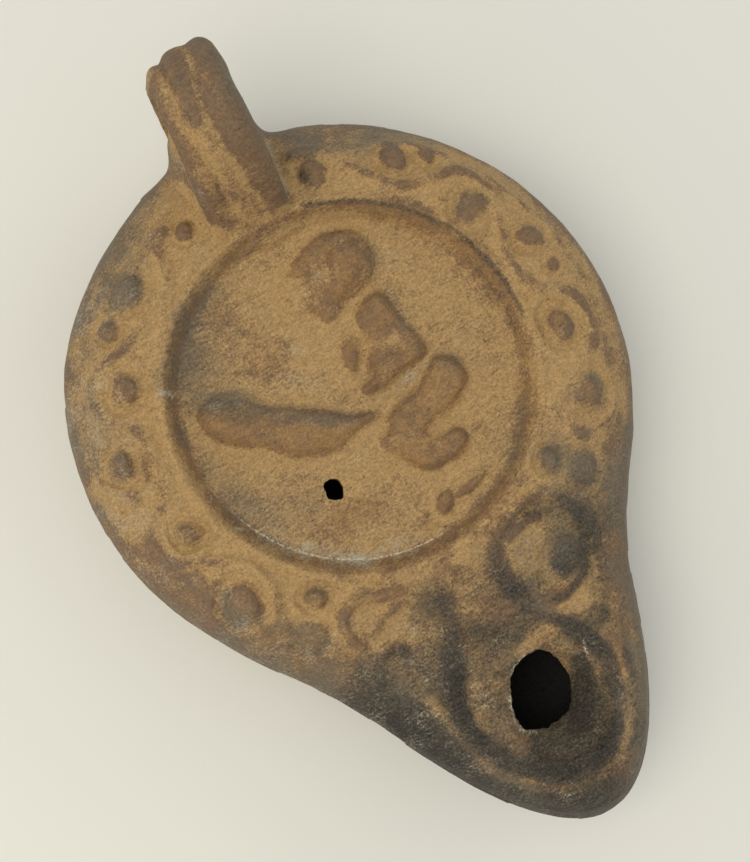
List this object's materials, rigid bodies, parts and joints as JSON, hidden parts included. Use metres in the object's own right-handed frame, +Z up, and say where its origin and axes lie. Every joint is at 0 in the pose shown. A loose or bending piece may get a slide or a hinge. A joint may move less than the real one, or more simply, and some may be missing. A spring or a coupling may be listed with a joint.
{
  "type": "roman oil lamp",
  "caption": "Mould-made clay oil lamp with a round sunken discus in low relief, a ribbed handle with a finger hole, and a volute nozzle with a wick hole.",
  "frame": {"origin": "middle of the foot, on the plane it stands on", "axes": "+Z up, the nozzle points along -Y, the handle is at +Y, +X is to the right seen from above with the handle at the top"},
  "size_m": [0.084, 0.127, 0.0459],
  "materials": {
    "fired_clay": "matte"
  },
  "bodies": {
    "root": {"lamp": "fired_clay"}
  },
  "joints": []
}
